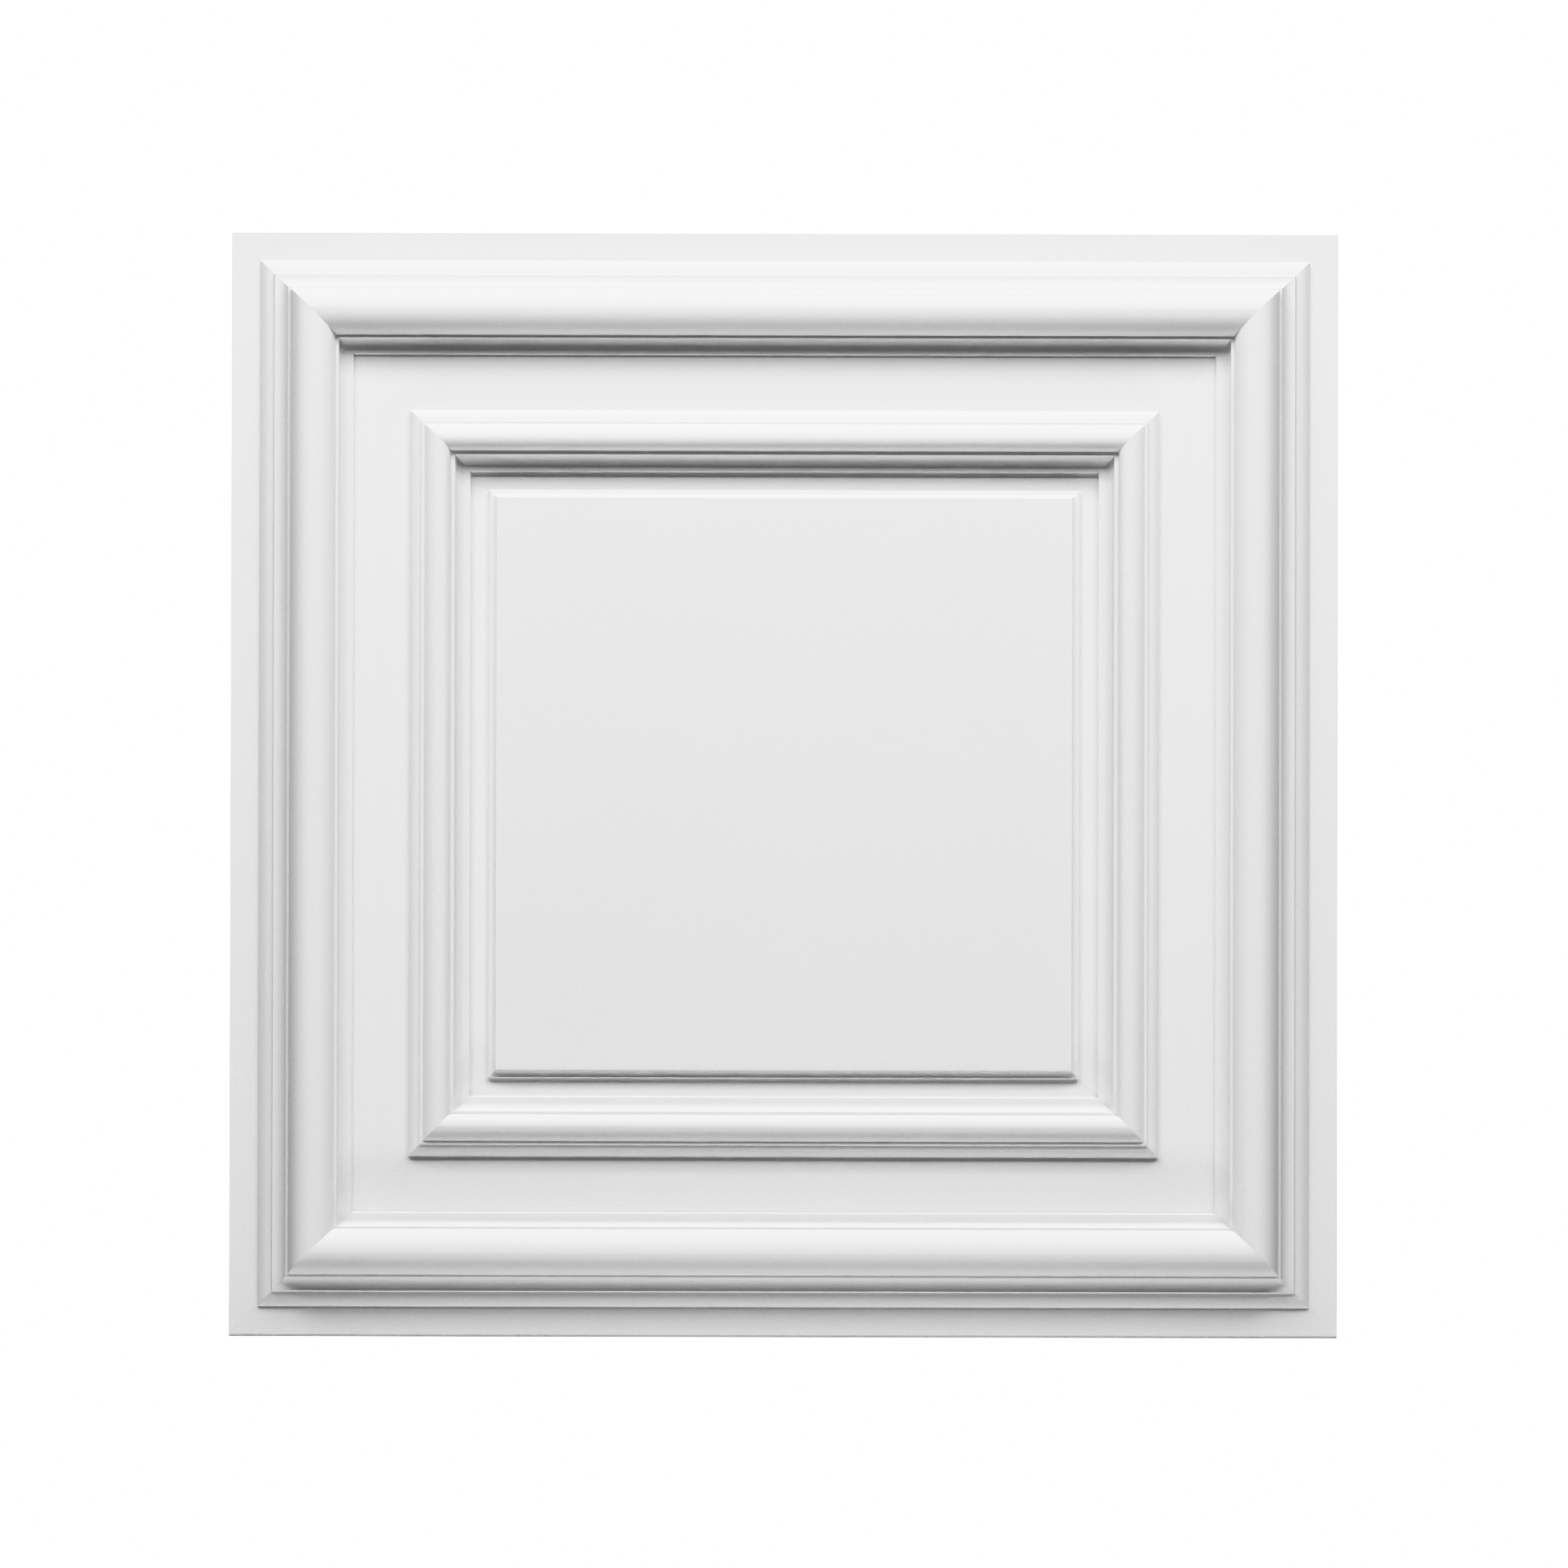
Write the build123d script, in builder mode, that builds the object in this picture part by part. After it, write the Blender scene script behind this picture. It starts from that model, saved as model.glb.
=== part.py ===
import os
from math import hypot

from build123d import *

os.makedirs("parts", exist_ok=True)

# Sizes in mm. The section runs inwards from the panel's edge and upwards from its flat back.

# Whole panel
panel_side = 595.0
rim_width = 15.6
rim_thickness = 13.0
arris_radius = 0.4

# Outer moulding, from the rim to the field
outer_wall_rise = 1.0
outer_ovolo_width = 7.4
outer_ovolo_rise = 3.4
outer_step_rise = 1.4
outer_fillet_width = 1.4
outer_cove_width = 5.9
outer_cove_rise = 4.1
upper_fillet_width = 1.5
torus_shoulder_rise = 2.1
torus_rise_width = 10.5
torus_rise = 7.0
torus_fall_width = 13.8
torus_fall = 10.0
lower_fillet_width = 1.7
lower_wall_fall = 3.5
lower_cove_radius = 3.5
lower_toe_width = 4.5
lower_toe_fall = 1.7
field_width = 30.6

# Inner moulding, from the field down to the sunk channel
inner_wall_rise = 1.2
inner_ovolo_width = 5.8
inner_ovolo_rise = 3.6
inner_step_rise = 1.3
inner_fillet_width = 1.8
inner_torus_rise_width = 7.5
inner_torus_rise = 4.4
inner_torus_fall_width = 6.6
inner_torus_fall = 6.0
inner_lower_fillet_width = 2.3
inner_lower_wall_fall = 1.9
inner_cove_radius = 5.1
inner_toe_width = 3.2
inner_toe_fall = 3.1
channel_width = 10.4

# Raised centre panel
centre_wall_rise = 2.3
centre_fillet_width = 0.5
centre_cove_radius = 3.1
centre_margin = 6.0


def straight(start, width, rise):
    """A flat, a wall or a sloping run of the section."""
    return Line(start, start + Vector(width, rise)) @ 1


def level_first(start, width, rise):
    """A rounded member that leaves level and ends steep."""
    end = start + Vector(width, rise)
    TangentArc(start, end, tangent=(1, 0))
    return end


def steep_first(start, width, rise):
    """A rounded member that starts steep and ends level."""
    end = start + Vector(width, rise)
    TangentArc(end, start, tangent=(-1, 0))
    return end


def meets(vertex, point):
    """Whether a corner of the section is the one at this point."""
    return hypot(vertex.X - point.X, vertex.Y - point.Y) < arris_radius / 4


with BuildPart() as ceiling_panel:
    half_side = panel_side / 2
    section_plane = Plane(origin=(0, -half_side, 0), x_dir=(0, 1, 0), z_dir=(1, 0, 0))

    with BuildSketch(section_plane) as section:
        with BuildLine():
            back_corner = Vector(0, 0)
            arrises = [straight(back_corner, 0, rim_thickness)]
            arrises.append(straight(arrises[-1], rim_width, 0))

            arrises.append(straight(arrises[-1], 0, outer_wall_rise))
            arrises.append(steep_first(arrises[-1], outer_ovolo_width, outer_ovolo_rise))
            arrises.append(straight(arrises[-1], 0, outer_step_rise))
            flat_end = straight(arrises[-1], outer_fillet_width, 0)
            arrises.append(level_first(flat_end, outer_cove_width, outer_cove_rise))
            arrises.append(straight(arrises[-1], upper_fillet_width, 0))
            arrises.append(straight(arrises[-1], 0, torus_shoulder_rise))
            crest = steep_first(arrises[-1], torus_rise_width, torus_rise)
            arrises.append(level_first(crest, torus_fall_width, -torus_fall))
            arrises.append(straight(arrises[-1], lower_fillet_width, 0))
            wall_foot = straight(arrises[-1], 0, -lower_wall_fall)
            toe = steep_first(wall_foot, lower_cove_radius, -lower_cove_radius)
            arrises.append(straight(toe, lower_toe_width, 0))
            arrises.append(straight(arrises[-1], 0, -lower_toe_fall))
            arrises.append(straight(arrises[-1], field_width, 0))

            arrises.append(straight(arrises[-1], 0, inner_wall_rise))
            arrises.append(steep_first(arrises[-1], inner_ovolo_width, inner_ovolo_rise))
            arrises.append(straight(arrises[-1], 0, inner_step_rise))
            arrises.append(straight(arrises[-1], inner_fillet_width, 0))
            inner_crest = steep_first(arrises[-1], inner_torus_rise_width, inner_torus_rise)
            arrises.append(level_first(inner_crest, inner_torus_fall_width, -inner_torus_fall))
            arrises.append(straight(arrises[-1], inner_lower_fillet_width, 0))
            inner_wall_foot = straight(arrises[-1], 0, -inner_lower_wall_fall)
            inner_toe = steep_first(inner_wall_foot, inner_cove_radius, -inner_cove_radius)
            arrises.append(straight(inner_toe, inner_toe_width, 0))
            arrises.append(straight(arrises[-1], 0, -inner_toe_fall))
            arrises.append(straight(arrises[-1], channel_width, 0))

            arrises.append(straight(arrises[-1], 0, centre_wall_rise))
            centre_flat_end = straight(arrises[-1], centre_fillet_width, 0)
            arrises.append(level_first(centre_flat_end, centre_cove_radius, centre_cove_radius))
            section_end = straight(arrises[-1], centre_margin, 0)
            section_foot = straight(section_end, 0, -section_end.Y)
            straight(section_foot, -section_foot.X, 0)
        make_face()
        eased = [v for v in section.vertices() if any(meets(v, arris) for arris in arrises)]
        fillet(eased, arris_radius)

    with BuildLine() as panel_edge:
        Polyline((0, -half_side), (half_side, -half_side), (half_side, half_side),
                 (-half_side, half_side), (-half_side, -half_side), close=True)

    sweep(sections=section.sketch, path=panel_edge.wire(), transition=Transition.RIGHT)

    with BuildSketch():
        centre_side = panel_side - 2 * section_end.X
        Rectangle(centre_side, centre_side)
    extrude(amount=section_end.Y)

ceiling_panel.part.label = "ceiling_panel"
export_step(ceiling_panel.part, "parts/ceiling_panel.step")
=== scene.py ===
import math

import bpy
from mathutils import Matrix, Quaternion, Vector


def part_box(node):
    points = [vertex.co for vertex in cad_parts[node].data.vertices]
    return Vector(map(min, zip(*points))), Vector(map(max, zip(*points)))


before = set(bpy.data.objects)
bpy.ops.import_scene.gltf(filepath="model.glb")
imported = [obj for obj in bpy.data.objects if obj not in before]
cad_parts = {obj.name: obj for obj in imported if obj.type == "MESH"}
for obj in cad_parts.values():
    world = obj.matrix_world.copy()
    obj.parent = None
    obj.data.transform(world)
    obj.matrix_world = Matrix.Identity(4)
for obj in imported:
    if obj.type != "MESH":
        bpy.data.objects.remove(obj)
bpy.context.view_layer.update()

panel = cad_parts["ceiling_panel"]
low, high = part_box("ceiling_panel")
side = high.x - low.x
thickness = high.z - low.z

# The photo's framing and viewing angle
photo_side_px = 1932
panel_side_px = 1364
sensor_width_mm = 36.0
view_distance = 60 * side
view_reach = 4 * view_distance
view_low_deg = 5.5
view_roll_deg = 0.13
view_target = Vector((0, 0, thickness * 0.4))

# Floor, and a card on it just clear of the panel's back and hidden from the mouldings by the rim
floor_gap = 0.0003
floor_reach = 1.6 * view_distance
floor_upturn = 0.1 * view_distance
floor_glow = 2.4
card_margin = 0.024
card_glow = 0.8
stage_grey = (0.5, 0.5, 0.5, 1.0)
stage_roughness = 0.9
glow_white = (1.0, 1.0, 1.0, 1.0)

# Directions from the panel's middle, and the point that most lamps face
top_edge_deg = 0
bottom_edge_deg = 180
middle = Vector((0, 0, 0))

# Two soft boxes beyond the photo's top edge
box_elevation_deg = 35.6
box_distance = 2.58
box_offset = 1.25
box_width = 1.9
box_height = 0.9
box_brightness = 9.7

# Weak lamps from the photo's bottom edge: two long strips and, above them, a box behind a grid
fill_distance = 2.5
strip_width = 1.6
strip_height = 0.22
low_strip_elevation_deg = 3
low_strip_brightness = 10.0
middle_strip_elevation_deg = 18
middle_strip_brightness = 9.5
grid_box_elevation_deg = 46
grid_box_target = Vector((0.03, -0.03, 0))
grid_box_width = 0.8
grid_box_height = 0.65
grid_box_brightness = 0.44
grid_spread_deg = 40
open_spread_deg = 180

# Brightness in the scene and as the photo shows it
brightest_tone = 2.2
photo_tones = ((0.15, 0.07), (0.3, 0.27), (0.5, 0.61), (0.75, 0.86), (1.0, 0.928), (1.5, 0.965))

# Finish of the moulded face
primer_white = (0.82, 0.82, 0.82, 1.0)
primer_roughness = 0.58
primer_sheen = 0.3
cloud_scale = 18.0
cloud_detail = 3.0
cloud_tone = 0.012
cloud_roughness = 0.1
grain_scale = 900.0
grain_detail = 2.0
grain_tone = 0.1
grain_bump = 0.04
grain_depth = 0.0003

# Faint lines along the mouldings, and the mitres where they meet, outside the raised centre
frame_width = 0.142
centre_half = side / 2 - frame_width
line_scale = 700.0
line_detail = 2.0
line_tone = 0.04
mitre_width = 0.0004
mitre_tone = 0.03


class Shade:
    """A socket in a material's node tree, with arithmetic on it."""

    def __init__(self, tree, socket=None):
        self.tree = tree
        self.socket = socket

    def node(self, kind, settings=None, inputs=None, output=0):
        """Adds one node with its settings, then its socket values or links."""
        made = self.tree.nodes.new(kind)
        for name, value in (settings or {}).items():
            setattr(made, name, value)
        for name, value in (inputs or {}).items():
            if isinstance(value, Shade):
                self.tree.links.new(value.socket, made.inputs[name])
            else:
                made.inputs[name].default_value = value
        return Shade(self.tree, made.outputs[output] if made.outputs else None)

    def maths(self, operation, a, b):
        return self.node("ShaderNodeMath", {"operation": operation}, {0: a, 1: b})

    def __add__(self, other):
        return self.maths("ADD", self, other)

    def __radd__(self, other):
        return self.maths("ADD", other, self)

    def __sub__(self, other):
        return self.maths("SUBTRACT", self, other)

    def __rsub__(self, other):
        return self.maths("SUBTRACT", other, self)

    def __mul__(self, other):
        return self.maths("MULTIPLY", self, other)

    def __rmul__(self, other):
        return self.maths("MULTIPLY", other, self)

    def __abs__(self):
        return self.maths("ABSOLUTE", self, 0.0)

    def __gt__(self, other):
        return self.maths("GREATER_THAN", self, other)

    def __lt__(self, other):
        return self.maths("LESS_THAN", self, other)


def new_material(name):
    material = bpy.data.materials.new(name)
    material.use_nodes = True
    material.node_tree.nodes.clear()
    return material, Shade(material.node_tree)


def noise(shade, place, scale, detail):
    """Soft random values around one half over the surface."""
    return shade.node("ShaderNodeTexNoise", {"noise_dimensions": "3D"},
                      {"Vector": place, "Scale": scale, "Detail": detail})


def lines(shade, distance, scale, detail):
    """Random values around one half that change only with a distance."""
    return shade.node("ShaderNodeTexNoise", {"noise_dimensions": "1D"},
                      {"W": distance, "Scale": scale, "Detail": detail})


def primer_material():
    """Matt white primer: faint clouds, a fine grain, lines drawn along the mouldings, hair-fine mitres."""
    material, shade = new_material("primer")
    place = shade.node("ShaderNodeTexCoord", output="Object")
    across = abs(shade.node("ShaderNodeSeparateXYZ", None, {"Vector": place}, output="X"))
    along = abs(shade.node("ShaderNodeSeparateXYZ", None, {"Vector": place}, output="Y"))
    from_middle = shade.maths("MAXIMUM", across, along)
    framed = from_middle > centre_half
    mitre = framed * (abs(across - along) < mitre_width)
    drawn = framed * (lines(shade, from_middle, line_scale, line_detail) - 0.5)
    cloud = noise(shade, place, cloud_scale, cloud_detail) - 0.5
    grain = noise(shade, place, grain_scale, grain_detail) - 0.5
    tone = 1.0 + cloud_tone * cloud + grain_tone * grain + line_tone * drawn - mitre_tone * mitre
    colour = shade.node("ShaderNodeMix", {"data_type": "RGBA", "blend_type": "MULTIPLY"},
                        {"Factor": 1.0, "A": primer_white, "B": tone}, output="Result")
    bump = shade.node("ShaderNodeBump", None,
                      {"Height": grain, "Strength": grain_bump, "Distance": grain_depth})
    surface = shade.node("ShaderNodeBsdfPrincipled", None,
                         {"Base Color": colour, "Roughness": primer_roughness + cloud_roughness * cloud,
                          "Specular IOR Level": primer_sheen, "Normal": bump})
    shade.node("ShaderNodeOutputMaterial", None, {"Surface": surface})
    return material


def glow_material(name, glow):
    """Matt grey with a glow of its own, which isn't sampled as a lamp."""
    material, shade = new_material(name)
    surface = shade.node("ShaderNodeBsdfPrincipled", None,
                         {"Base Color": stage_grey, "Roughness": stage_roughness,
                          "Emission Color": glow_white, "Emission Strength": glow})
    shade.node("ShaderNodeOutputMaterial", None, {"Surface": surface})
    material.cycles.emission_sampling = "NONE"
    return material


def add_sheet(name, reach_x, reach_y, height, material, upturn=0):
    """A flat sheet, with its edges turned up where that is asked for."""
    corners = [(-reach_x, -reach_y), (reach_x, -reach_y), (reach_x, reach_y), (-reach_x, reach_y)]
    points = [(x, y, 0) for x, y in corners]
    faces = [(0, 1, 2, 3)]
    if upturn:
        points += [(x, y, upturn) for x, y in corners]
        faces += [(n, n + 4, (n + 1) % 4 + 4, (n + 1) % 4) for n in range(4)]
    mesh = bpy.data.meshes.new(name)
    mesh.from_pydata(points, [], faces)
    mesh.materials.append(material)
    sheet = bpy.data.objects.new(name, mesh)
    sheet.location.z = height
    bpy.context.collection.objects.link(sheet)
    return sheet


def add_floor():
    """A white floor that lights nothing, and an unseen card that lights the two side edges only."""
    floor = add_sheet("floor", floor_reach, floor_reach, low.z - 2 * floor_gap,
                      glow_material("floor", floor_glow), upturn=floor_upturn)
    floor.visible_diffuse = False
    floor.visible_glossy = False
    card = add_sheet("bounce_card", side / 2 + card_margin, side / 2, low.z - floor_gap,
                     glow_material("card", card_glow))
    card.visible_camera = False


def from_panel(azimuth_deg, elevation_deg, distance):
    """A point seen from the panel's middle; azimuth 90 is towards the photo's right edge."""
    azimuth = math.radians(azimuth_deg)
    elevation = math.radians(elevation_deg)
    level = distance * math.cos(elevation)
    return Vector((level * math.sin(azimuth), level * math.cos(azimuth), distance * math.sin(elevation)))


def aim(thing, place, target):
    thing.location = place
    thing.rotation_mode = "QUATERNION"
    thing.rotation_quaternion = (target - place).to_track_quat("-Z", "Y")


def add_light(name, place, target, width, height, brightness, spread_deg=open_spread_deg):
    """A soft flat lamp; its power follows from its brightness and area, and a grid can narrow its spread."""
    lamp = bpy.data.lights.new(name, "AREA")
    lamp.shape = "RECTANGLE"
    lamp.size = width
    lamp.size_y = height
    lamp.energy = brightness * math.pi * width * height
    lamp.spread = math.radians(spread_deg)
    light = bpy.data.objects.new(name, lamp)
    bpy.context.collection.objects.link(light)
    aim(light, place, target)


def add_dark_room():
    """Surroundings that give no light of their own."""
    world = bpy.data.worlds.new("studio")
    world.use_nodes = True
    world.node_tree.nodes["Background"].inputs["Strength"].default_value = 0.0
    bpy.context.scene.world = world


def add_lights():
    """Two long soft boxes beyond the photo's top edge, and weak light from its bottom edge."""
    box_place = from_panel(top_edge_deg, box_elevation_deg, box_distance)
    for name, across in (("key_left", -box_offset), ("key_right", box_offset)):
        offset = Vector((across, 0, 0))
        add_light(name, box_place + offset, middle + offset, box_width, box_height, box_brightness)
    add_light("fill_low", from_panel(bottom_edge_deg, low_strip_elevation_deg, fill_distance),
              middle, strip_width, strip_height, low_strip_brightness)
    add_light("fill_middle", from_panel(bottom_edge_deg, middle_strip_elevation_deg, fill_distance),
              middle, strip_width, strip_height, middle_strip_brightness)
    add_light("fill_high", from_panel(bottom_edge_deg, grid_box_elevation_deg, fill_distance),
              grid_box_target, grid_box_width, grid_box_height, grid_box_brightness, grid_spread_deg)


def add_camera():
    """Looks down on the panel from a little below its middle, with a long lens."""
    camera_data = bpy.data.cameras.new("camera")
    camera_data.sensor_width = sensor_width_mm
    seen_width = side * photo_side_px / panel_side_px
    camera_data.lens = sensor_width_mm * view_distance / seen_width
    camera_data.clip_end = view_reach
    camera = bpy.data.objects.new("camera", camera_data)
    bpy.context.collection.objects.link(camera)
    aim(camera, from_panel(bottom_edge_deg, 90 - view_low_deg, view_distance), view_target)
    camera.rotation_quaternion @= Quaternion((0, 0, 1), math.radians(view_roll_deg))
    bpy.context.scene.camera = camera


def set_picture():
    """The photo's contrast: deep shadows, and highlights that close up towards white."""
    view = bpy.context.scene.view_settings
    view.view_transform = "Standard"
    view.look = "None"
    view.use_curve_mapping = True
    tones = view.curve_mapping
    tones.extend = "HORIZONTAL"
    tones.white_level = (brightest_tone, brightest_tone, brightest_tone)
    all_channels = tones.curves[3]
    for seen, shown in photo_tones:
        all_channels.points.new(seen / brightest_tone, shown)
    tones.update()


def dress_panel():
    panel.data.materials.clear()
    panel.data.materials.append(primer_material())


dress_panel()
add_floor()
add_dark_room()
add_lights()
add_camera()
set_picture()
